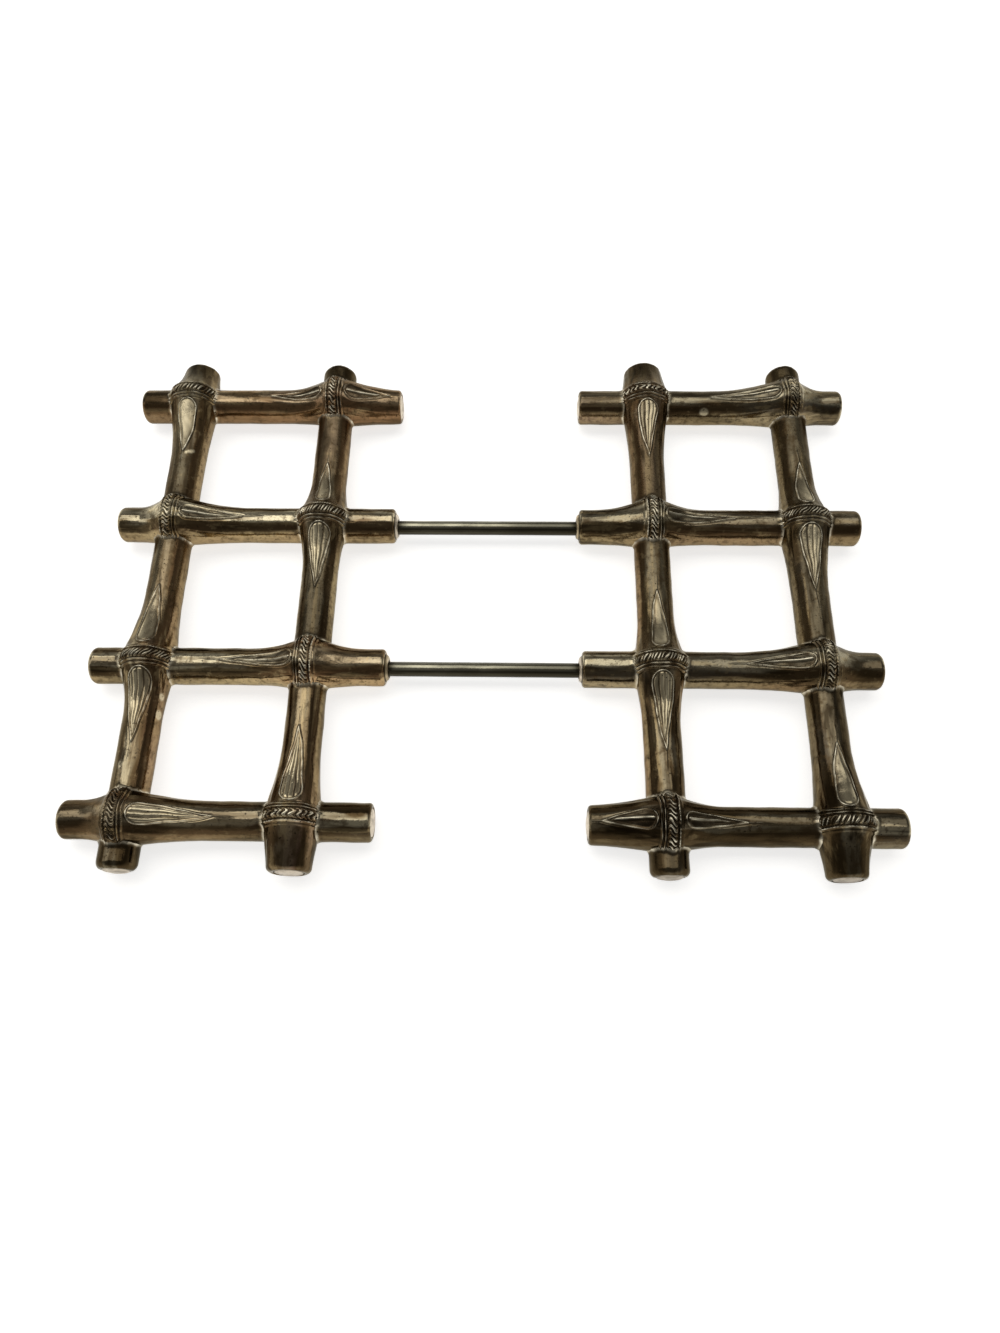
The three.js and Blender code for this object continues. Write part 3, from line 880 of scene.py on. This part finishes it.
def rod_mesh(half):
    """A slide rod with bevelled ends and a faintly uneven drawn surface."""
    other_mouth = MOUTH_STUB + CLOSED_GAP + EXTENSION
    fixed_end = BORE_RADIUS
    free_end = other_mouth + FACE_RECESS + BUSH_LENGTH + SLIDE_CLEARANCE + HEAD_THICKNESS
    outline = [(fixed_end, 0.0)]
    outline += [(fixed_end + depth, ROD_RADIUS - less) for depth, less in ROD_BEVEL]
    outline += [(float(place), ROD_RADIUS)
                for place in np.arange(fixed_end + 1.4, free_end - 1.0, ROD_STEP)]
    outline += [(free_end - depth, ROD_RADIUS - less) for depth, less in reversed(ROD_BEVEL)]
    outline.append((free_end, 0.0))
    mesh = spun(f"{half}_slide_rod_visual", outline, False, ROD_ROUND_STEPS)
    points = points_of(mesh)
    # the drawn surface is uneven by a hundredth of a millimetre or two
    wobble = cast_wobble(points * (0.6, 1.6, 1.6), ROD_SEEDS[half])
    is_side = radii_of(points) > ROD_RADIUS - 0.01
    points[:, 1:] *= np.where(is_side, 1 - 0.008 + 0.005 * wobble, 1.0)[:, None]
    turned = np.abs(np.arctan2(points[:, 1], points[:, 2]))
    points[:, 2] -= ROD_DROP
    # painted shade: the rod's underside is painted dark, and so is the rod beside each mouth
    is_near_side = (-points[:, 1] if half == "left" else points[:, 1]) > 0
    underside = np.where(is_near_side, smooth(0.25, 0.75, turned), smooth(0.55, 0.95, turned))
    paint(mesh, "dark", np.maximum(underside, bump(points[:, 0] - MOUTH_STUB, ROD_SHADE_REACH)
                                   + bump(points[:, 0] - other_mouth, ROD_SHADE_REACH)))
    put_in_place(mesh, points, False, ROW_PLACES[ANCHOR_ROW], half)
    # painted highlight: both rods are painted brighter towards the left half
    paint(mesh, "bright", 1 - smooth(-0.012, 0.020, points_of(mesh)[:, 0]))
    return mesh


def finish_piece(mesh, half, node, material_name):
    """Puts a mesh in the scene as a piece that rides on its half and stands for its CAD node."""
    piece = bpy.data.objects.new(mesh.name, mesh)
    bpy.context.scene.collection.objects.link(piece)
    mesh.materials.append(material_named(material_name))
    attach(piece, f"{half}_half")
    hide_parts(f"{half}_{node}")


def material_named(name):
    material = bpy.data.materials.get(name)
    if material is None:
        raise RuntimeError(f"make the finishes first: there is no material {name}")
    return material


# Sockets of a Mix node that mixes colours
MIX_FIRST, MIX_SECOND, MIX_RESULT = 6, 7, 2


class Nodes:
    """Short ways to add the nodes of a node tree."""

    def __init__(self, tree):
        self.tree = tree

    def add(self, kind):
        return self.tree.nodes.new(kind)

    def feed(self, socket, value):
        """Links an output to a socket, or sets a number or a colour on it."""
        if isinstance(value, bpy.types.NodeSocket):
            self.tree.links.new(value, socket)
        elif isinstance(value, (int, float)):
            socket.default_value = value
        else:
            socket.default_value = (*value, 1.0)

    def math(self, operation, first, second):
        node = self.add("ShaderNodeMath")
        node.operation = operation
        self.feed(node.inputs[0], first)
        self.feed(node.inputs[1], second)
        return node.outputs[0]

    def product(self, value, *factors):
        for factor in factors:
            value = self.math("MULTIPLY", value, factor)
        return value

    def total(self, value, *terms):
        for term in terms:
            value = self.math("ADD", value, term)
        return value

    def ramp(self, value, low, high, to_low=0.0, to_high=1.0):
        """Goes softly from one number to another while a value goes from low to high."""
        node = self.add("ShaderNodeMapRange")
        node.interpolation_type = "SMOOTHSTEP"
        self.feed(node.inputs["Value"], value)
        for name, limit in (("From Min", low), ("From Max", high), ("To Min", to_low),
                            ("To Max", to_high)):
            node.inputs[name].default_value = limit
        return node.outputs["Result"]

    def mix(self, share, first, second):
        node = self.add("ShaderNodeMix")
        node.data_type = "RGBA"
        self.feed(node.inputs["Factor"], share)
        self.feed(node.inputs[MIX_FIRST], first)
        self.feed(node.inputs[MIX_SECOND], second)
        return node.outputs[MIX_RESULT]

    def layered(self, colour, *layers):
        """A colour with others over it, each with the share of the surface that it covers."""
        for share, tint in layers:
            colour = self.mix(share, colour, tint)
        return colour


class Finish(Nodes):
    """A new material, and short ways to add its patterns and its relief."""

    def __init__(self, name):
        old = bpy.data.materials.get(name)
        if old:
            bpy.data.materials.remove(old)
        self.material = bpy.data.materials.new(name)
        self.material.use_nodes = True
        super().__init__(self.material.node_tree)
        self.tree.nodes.clear()
        shader = self.add("ShaderNodeBsdfPrincipled")
        self.inputs = shader.inputs
        self.feed(self.add("ShaderNodeOutputMaterial").inputs["Surface"], shader.outputs["BSDF"])
        self.coordinates = self.add("ShaderNodeTexCoord").outputs["Object"]

    def painted(self, name):
        node = self.add("ShaderNodeAttribute")
        node.attribute_name = name
        return node.outputs["Fac"]

    def stretched(self, scale=(1.0, 1.0, 1.0), location=(0.0, 0.0, 0.0)):
        node = self.add("ShaderNodeMapping")
        self.feed(node.inputs["Vector"], self.coordinates)
        node.inputs["Scale"].default_value = scale
        node.inputs["Location"].default_value = location
        return node.outputs["Vector"]

    def noise(self, vector, scale, detail, roughness, distortion=0.0):
        node = self.add("ShaderNodeTexNoise")
        self.feed(node.inputs["Vector"], vector)
        node.inputs["Scale"].default_value = scale
        node.inputs["Detail"].default_value = detail
        node.inputs["Roughness"].default_value = roughness
        node.inputs["Distortion"].default_value = distortion
        return node.outputs["Fac"]

    def set_metal(self, colour, roughness, *relief):
        """Makes the shader a metal. The relief is the height, strength and distance of each bump
        layer, from the lowest up."""
        self.feed(self.inputs["Base Color"], colour)
        self.inputs["Metallic"].default_value = 1.0
        self.feed(self.inputs["Roughness"], roughness)
        normal = None
        for height, strength, distance in relief:
            node = self.add("ShaderNodeBump")
            self.feed(node.inputs["Height"], height)
            node.inputs["Strength"].default_value = strength
            node.inputs["Distance"].default_value = distance
            if normal is not None:
                self.feed(node.inputs["Normal"], normal)
            normal = node.outputs["Normal"]
        self.feed(self.inputs["Normal"], normal)


def darker(tint, share):
    return tuple(value * share for value in tint)


# Tints that are the same on every cane and rod
MAUVE_FILM = (0.30, 0.20, 0.165)
SLATE_FILM = (0.15, 0.155, 0.135)
# dark tarnish on the canes' shoulders, partly painted shade
SHOULDER_TARNISH_AND_SHADE = (0.060, 0.039, 0.019)
SOOT = (0.034, 0.023, 0.010)
BLACK_BLOTCH = (0.017, 0.011, 0.005)
# pale stains, also the leaves' pale fill, which is partly a painted highlight
STAIN_AND_HIGHLIGHT = (0.76, 0.67, 0.46)
# pale solder, partly a painted highlight
SOLDER_AND_HIGHLIGHT = (0.78, 0.71, 0.55)
PLATE_EDGE_GLOSS = (0.72, 0.70, 0.64)
ROD_STREAK = (0.20, 0.17, 0.09)
# painted shade on the rods' undersides and beside the mouths
ROD_SHADE = (0.02, 0.016, 0.008)
LEAST_ROUGHNESS = 0.08
# Scale of a cane's patterns along it, which draws out its blotches and, much further, its fine lines
BLOTCH_SCALE, LINE_SCALE = 0.22, 0.05


def plate_finish(name, is_long, finish):
    """Aged silver plate on a cane. The painted layers say where it is rubbed, tarnished, golden,
    blushed, sooty, stained or soldered, and the patterns make that ragged. Part of it is painted
    light: the rubbed top is partly a painted highlight, the dark shoulders are partly painted shade,
    the golden flanks are partly a painted reflection, the streaks on top are a painted reflection,
    and the solder line and the leaves' pale fill are partly painted highlights."""
    make = Finish(name)
    along, drawn = ((1.0, scale, 1.0) if is_long else (scale, 1.0, 1.0)
                    for scale in (BLOTCH_SCALE, LINE_SCALE))
    even = make.stretched()
    blotch = make.noise(make.stretched(along), 95.0, 4.0, 0.6, 0.4)
    cloud = make.noise(make.stretched(along, (0.31, 0.17, 0.05)), 42.0, 3.0, 0.55)
    mottle = make.noise(even, 420.0, 4.0, 0.65)
    lines = make.noise(make.stretched(drawn), 900.0, 3.0, 0.6)
    speck = make.noise(even, 1250.0, 2.0, 0.5)
    grain = make.noise(make.stretched(along), 2600.0, 2.0, 0.7)
    wave = make.noise(make.stretched(along, (0.07, 0.41, 0.13)), 170.0, 2.0, 0.5, 0.8)
    streak = make.noise(make.stretched(drawn, (0.23, 0.11, 0.37)), 430.0, 2.0, 0.5)
    bright, dark, solder, stain, upward, polish, golden, blush, soot = (
        make.painted(layer) for layer in ("bright", "dark", "solder", "stain", "upward", "polish",
                                          "golden", "blush", "soot"))

    ragged = make.total(upward, make.product(make.total(wave, -0.5), 0.22))
    on_top = make.ramp(upward, 0.55, 0.88, 0.3, 1.0)
    warm = make.math("MAXIMUM", make.product(make.ramp(cloud, 0.44, 0.58), blush),
                     make.ramp(blush, 0.5, 1.0, 0.0, 0.85))
    gold = make.mix(make.product(make.ramp(cloud, 0.40, 0.60), blush),
                    finish.gold_plate, finish.copper_plate)
    colour = make.layered(
        finish.plate,
        (make.ramp(make.total(blotch, make.product(soot, 0.30)), 0.42, 0.60), finish.dark_plate),
        (make.ramp(cloud, 0.56, 0.70, 0.0, 0.5), MAUVE_FILM),
        (make.ramp(cloud, 0.42, 0.32, 0.0, 0.5), SLATE_FILM),
        # heavy tarnish on the shoulders, between the rubbed top and the flanks: partly tarnish,
        # partly painted shade, a dark band painted by how far the surface faces up
        (make.product(make.ramp(ragged, 0.96, 0.90), make.ramp(ragged, 0.72, 0.82),
                      make.ramp(cloud, 0.30, 0.62, 0.5, 1.0)), SHOULDER_TARNISH_AND_SHADE),
        # the flanks are painted paler and golden: partly clean plate with copper showing through in
        # places, partly a painted reflection of the pale floor
        (make.product(make.ramp(ragged, 0.82, 0.74), make.ramp(mottle, 0.70, 0.40, 0.35, 1.0),
                      golden), gold),
        # the top has a grey film where it is dull, and is rubbed bright where it is polished; the
        # bright top is partly wear and partly a painted highlight
        (make.product(make.ramp(ragged, 0.91, 0.96), make.ramp(polish, 0.75, 0.35, 0.0, 0.7)),
         finish.grey_film),
        (make.product(make.ramp(ragged, 0.945, 0.985),
                      make.ramp(polish, 0.3, 1.0, 0.05, 0.35 if is_long else 0.85),
                      make.ramp(cloud, 0.70, 0.46, 0.35, 1.0)), finish.worn_plate_and_highlight),
        (make.product(warm, 0.65), finish.copper_plate),
        # painted reflection: light and dark streaks along the top of the cane; then spots of every
        # kind
        (make.product(make.ramp(streak, 0.53, 0.63, 0.0, 0.6), on_top), finish.dark_plate),
        (make.product(make.ramp(streak, 0.44, 0.36, 0.0, 0.4), on_top), finish.gold_plate),
        (make.product(make.ramp(mottle, 0.50, 0.68), make.ramp(upward, 0.55, 0.95, 0.55, 0.70)),
         finish.dark_plate),
        (make.product(make.ramp(mottle, 0.42, 0.34), golden, 0.5), finish.gold_plate),
        (make.ramp(grain, 0.52, 0.62, 0.0, 0.22), finish.dark_plate),
        # soot, and what lies in or on the relief
        (make.product(soot, 0.85), SOOT),
        (make.product(make.ramp(blotch, 0.52, 0.62), make.ramp(soot, 0.0, 0.6, 0.42, 0.90)),
         BLACK_BLOTCH),
        # stains, and the leaves' pale fill, partly a painted highlight
        (make.product(stain, 0.8), STAIN_AND_HIGHLIGHT),
        # grime in the relief's grooves, and painted shade beside the fitted joints
        (make.ramp(dark, 0.15, 0.95, 0.0, 0.9), finish.grime_and_shade),
        (make.ramp(bright, 0.35, 1.0, 0.0, 0.85), finish.bare_silver),
        # the solder line, partly a painted highlight
        (make.product(solder, 0.8), SOLDER_AND_HIGHLIGHT),
        (make.product(make.ramp(speck, 0.65, 0.71), 0.85), finish.grime_and_shade))
    rough = make.total(
        make.ramp(polish, 0.0, 1.0, 0.28, 0.08), make.ramp(blotch, 0.3, 0.7, 0.0, 0.06),
        make.ramp(mottle, 0.45, 0.75, 0.0, 0.12), make.product(dark, 0.12),
        make.product(bright, -0.10), make.product(stain, -0.03))
    make.set_metal(
        colour, make.math("MAXIMUM", rough, LEAST_ROUGHNESS), (wave, 0.28, 0.0007),
        (lines, 0.16, 0.00015), (mottle, 0.22, 0.00026), (grain, 0.16, 0.00010),
        (make.ramp(speck, 0.76, 0.68), 0.25, 0.00012))
    make.inputs["Specular Tint"].default_value = (*PLATE_EDGE_GLOSS, 1.0)


def turned_finish(name, tint, patches, grime_and_shade):
    """A small turned part, with patches that keep a share of its brightness, darkening where it is
    painted dark, which is painted shade in a sleeve's gaps and over a long cane's disc, and fine
    marks."""
    make = Finish(name)
    even = make.stretched()
    cloud = make.noise(even, 260.0, 4.0, 0.6, 0.5)
    mottle = make.noise(even, 900.0, 3.0, 0.6)
    colour = make.layered(
        tint,
        (make.ramp(cloud, 0.38, 0.68), darker(tint, patches)),
        (make.product(make.ramp(mottle, 0.58, 0.72), 0.5), darker(tint, 0.4)),
        # painted shade, and darkening round a disc's edge, where the part is painted dark
        (make.ramp(make.painted("dark"), 0.2, 0.95, 0.0, 0.9), grime_and_shade))
    make.set_metal(colour, make.ramp(cloud, 0.3, 0.7, 0.36, 0.52), (cloud, 0.3, 0.0004),
                   (mottle, 0.3, 0.00015))


def rod_finish(name, tint, grime_and_shade):
    """Drawn steel with an olive film, lines along it and worn streaks. It is painted dull away from
    its painted highlight, and dark with painted shade on its underside and beside the mouths.
    """
    make = Finish(name)
    drawn = make.noise(make.stretched((0.03, 1.0, 1.0)), 1600.0, 3.0, 0.6)
    film = make.noise(make.stretched((0.25, 1.0, 1.0)), 240.0, 4.0, 0.6, 0.3)
    speck = make.noise(make.stretched(), 1500.0, 2.0, 0.5)
    dull = darker(tint, 0.32)
    colour = make.layered(
        tint,
        (make.ramp(film, 0.30, 0.62, 0.0, 0.8), dull),
        # painted highlight: the rod is painted dull except where it is painted bright
        (make.math("SUBTRACT", 0.85, make.painted("bright")), dull),
        (make.product(make.ramp(drawn, 0.5, 0.7), 0.4), ROD_STREAK),
        (make.product(make.ramp(speck, 0.68, 0.75), 0.7), grime_and_shade),
        # painted shade on the underside and beside the mouths
        (make.product(make.painted("dark"), 0.92), ROD_SHADE))
    make.set_metal(colour, make.ramp(film, 0.3, 0.7, 0.14, 0.26), (drawn, 0.15, 0.0001),
                   (film, 0.2, 0.0002))


class TRIVET_OT_finishes(bpy.types.Operator):
    """Makes the plate, disc, brass and steel finishes."""

    bl_idname = "trivet.finishes"
    bl_label = "Make finishes"

    def execute(self, context):
        finish = context.scene.trivet_finishes
        plate_finish("cane_plate_long", True, finish)
        plate_finish("cane_plate_cross", False, finish)
        turned_finish("end_plate_pale", finish.disc, 0.62, finish.grime_and_shade)
        turned_finish("bush_brass_dull", finish.bush, 0.55, finish.grime_and_shade)
        rod_finish("rod_steel_drawn", finish.rod, finish.grime_and_shade)
        return {"FINISHED"}


class TRIVET_OT_canes(bpy.types.Operator):
    """Models every length of cane with its node ring, leaf marks, rounded ends and fitted joints."""

    bl_idname = "trivet.canes"
    bl_label = "Model canes"

    def execute(self, context):
        for half in HALVES:
            for cane in half_canes(half):
                kind = "long" if cane.is_long else "cross"
                finish_piece(cane_mesh(cane, half, context.scene), half, cane.name,
                             f"cane_plate_{kind}")
        return {"FINISHED"}


class TRIVET_OT_discs(bpy.types.Operator):
    """Models the domed discs in the open ends of the canes."""

    bl_idname = "trivet.discs"
    bl_label = "Model end discs"

    def execute(self, context):
        settings = context.scene.trivet_canes
        for half in HALVES:
            for cane in half_canes(half):
                for end, inward, cut in cane.ends:
                    if not (cut or cane.is_mouth_end(end)):
                        finish_piece(disc_mesh(cane, end, inward, half, settings), half,
                                     f"{cane.name}_cap", "end_plate_pale")
        return {"FINISHED"}


class TRIVET_OT_rods(bpy.types.Operator):
    """Models the slide rods, the plugs and bushes in the mouths, and finishes the stop heads."""

    bl_idname = "trivet.rods"
    bl_label = "Model rods and fittings"

    def execute(self, context):
        settings = context.scene.trivet_canes
        for half in HALVES:
            finish_piece(rod_mesh(half), half, "slide_rod", "rod_steel_drawn")
            for node, length, hole, row, slot, material in SLEEVES:
                sleeve = sleeve_mesh(f"{half}_{node}_visual", length, hole, row, half, settings)
                finish_piece(sleeve, half, node, material)
            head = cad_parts[f"{half}_stop_head"]
            head.data.materials.clear()
            head.data.materials.append(material_named("bush_brass_dull"))
        return {"FINISHED"}


FLOOR_REACH = 6.0
FLOOR_DROP = 0.0001  # so that the floor lies just below the rings
FLOOR_GLOW = 0.70
LAMP_HEIGHT = 1.25
LAMP_DISTANCE = 0.58  # of the two overhead softboxes behind the trivet
# The softboxes: name, place, the point that each faces, width and length in metres, its share of
# the main brightness, and colour
SOFTBOXES = (
    ("softbox_overhead_left", (-0.68, LAMP_DISTANCE, LAMP_HEIGHT), (-0.68, LAMP_DISTANCE, 0.0),
     (1.36, 1.08), 1.0, (1.0, 0.97, 0.92)),
    ("softbox_overhead_right", (0.5, LAMP_DISTANCE, LAMP_HEIGHT), (0.5, LAMP_DISTANCE, 0.0),
     (1.0, 1.08), 0.62, (1.0, 0.97, 0.92)),
    ("softbox_left", (-1.3, 0.1, 0.7), (0.0, 0.0, 0.0), (0.4, 0.8), 0.6, (1.0, 0.97, 0.93)),
)
# Where the photograph was taken from: pitch, yaw and roll in degrees, and the lens's place in metres
CAMERA_ANGLES = (66.656, -2.928, -2.230)
CAMERA_PLACE = (0.0116, -0.14838, 0.28978)
SENSOR_WIDTH = 36.0


def floor_finish(stage):
    """Plain white floor. A little of its brightness is its own, for the camera and for gloss."""
    make = Finish("floor_white")
    make.feed(make.inputs["Base Color"], stage.floor)
    make.inputs["Roughness"].default_value = 0.9
    make.inputs["Specular IOR Level"].default_value = 0.0
    path = make.add("ShaderNodeLightPath").outputs
    seen = make.math("MAXIMUM", path["Is Camera Ray"], path["Is Glossy Ray"])
    seen = make.math("MAXIMUM", seen, path["Is Transmission Ray"])
    make.inputs["Emission Color"].default_value = (1.0, 1.0, 1.0, 1.0)
    make.feed(make.inputs["Emission Strength"], make.product(seen, FLOOR_GLOW))
    return make.material


def add_floor(scene, stage):
    shape = bmesh.new()
    bmesh.ops.create_grid(shape, x_segments=2, y_segments=2, size=FLOOR_REACH)
    mesh = mesh_of(shape, "floor")
    mesh.materials.append(floor_finish(stage))
    floor = bpy.data.objects.new("floor", mesh)
    scene.collection.objects.link(floor)
    floor.location.z = -FLOOR_DROP


def add_softbox(scene, main_radiance, name, place, target, size, share, colour):
    """A rectangular lamp of an even brightness that faces a point."""
    lamp = bpy.data.lights.new(name, "AREA")
    lamp.shape = "RECTANGLE"
    lamp.size, lamp.size_y = size
    lamp.energy = main_radiance * share * math.pi * size[0] * size[1]
    lamp.color = colour
    holder = bpy.data.objects.new(name, lamp)
    scene.collection.objects.link(holder)
    holder.location = place
    holder.rotation_euler = (Vector(place) - Vector(target)).to_track_quat("Z", "Y").to_euler()


def light_room(scene, stage):
    """The room's own light: dim overhead, brighter from its walls, and most so from behind the
    viewer."""
    room = scene.world or bpy.data.worlds.new("room")
    scene.world = room
    room.use_nodes = True
    make = Nodes(room.node_tree)
    direction = make.add("ShaderNodeSeparateXYZ")
    make.feed(direction.inputs["Vector"], make.add("ShaderNodeTexCoord").outputs["Generated"])
    walls = make.mix(make.ramp(direction.outputs["Y"], 0.2, -0.6), stage.horizon, stage.near_walls)
    low_down = make.ramp(direction.outputs["Z"], 0.08, 0.58, 1.0, 0.0)
    background = make.tree.nodes["Background"]
    make.feed(background.inputs["Color"], make.mix(low_down, stage.ceiling, walls))
    background.inputs["Strength"].default_value = 1.0


def photo_camera(scene, stage):
    """The camera where the photograph was taken from."""
    pitch, yaw, roll = (math.radians(angle) for angle in CAMERA_ANGLES)
    forward = Vector((math.sin(yaw) * math.cos(pitch), math.cos(yaw) * math.cos(pitch),
                      -math.sin(pitch)))
    level = Vector((math.cos(yaw), -math.sin(yaw), 0.0))
    upright = level.cross(forward)
    right = math.cos(roll) * level + math.sin(roll) * upright
    up = -math.sin(roll) * level + math.cos(roll) * upright
    data = bpy.data.cameras.new("photo_camera")
    data.sensor_fit = "AUTO"
    data.sensor_width = SENSOR_WIDTH
    data.lens = stage.focal_length
    data.clip_start, data.clip_end = 0.01, 50.0
    camera = bpy.data.objects.new("photo_camera", data)
    scene.collection.objects.link(camera)
    matrix = Matrix((right, up, -forward)).transposed().to_4x4()
    matrix.translation = CAMERA_PLACE
    camera.matrix_world = matrix
    return camera


class TRIVET_OT_stage(bpy.types.Operator):
    """Sets the floor, the softboxes, the room light and the camera."""

    bl_idname = "trivet.stage"
    bl_label = "Set stage"

    def execute(self, context):
        scene = context.scene
        stage = scene.trivet_stage
        add_floor(scene, stage)
        for lamp in SOFTBOXES:
            add_softbox(scene, stage.key_radiance, *lamp)
        light_room(scene, stage)
        scene.camera = photo_camera(scene, stage)
        scene.view_settings.view_transform = "Standard"
        return {"FINISHED"}


STEPS = (TRIVET_OT_finishes, TRIVET_OT_canes, TRIVET_OT_discs, TRIVET_OT_rods, TRIVET_OT_stage)
SETTINGS = {
    "trivet_rings": RingSettings,
    "trivet_leaves": LeafSettings,
    "trivet_canes": CaneSettings,
    "trivet_finishes": FinishSettings,
    "trivet_stage": StageSettings,
}


class TRIVET_PT_panel(bpy.types.Panel):
    """Lists the steps that dress the trivet, and their settings."""

    bl_label = "Trivet"
    bl_idname = "TRIVET_PT_panel"
    bl_space_type = "VIEW_3D"
    bl_region_type = "UI"
    bl_category = "Trivet"

    def draw(self, context):
        for name in SETTINGS:
            settings = getattr(context.scene, name)
            box = self.layout.box()
            box.label(text=name.removeprefix("trivet_").capitalize())
            for prop in settings.bl_rna.properties:
                if not prop.is_readonly and prop.identifier not in ("name", "rna_type"):
                    box.prop(settings, prop.identifier)
        for step in STEPS:
            self.layout.operator(step.bl_idname)


CLASSES = (*SETTINGS.values(), *STEPS, TRIVET_PT_panel)


def register():
    for cls in CLASSES:
        bpy.utils.register_class(cls)
    for name, settings in SETTINGS.items():
        setattr(bpy.types.Scene, name, PointerProperty(type=settings))


def unregister():
    for name in SETTINGS:
        delattr(bpy.types.Scene, name)
    for cls in reversed(CLASSES):
        bpy.utils.unregister_class(cls)


def main():
    register()
    for step in STEPS:
        group, name = step.bl_idname.split(".")
        getattr(getattr(bpy.ops, group), name)()


if __name__ == "__main__":
    main()
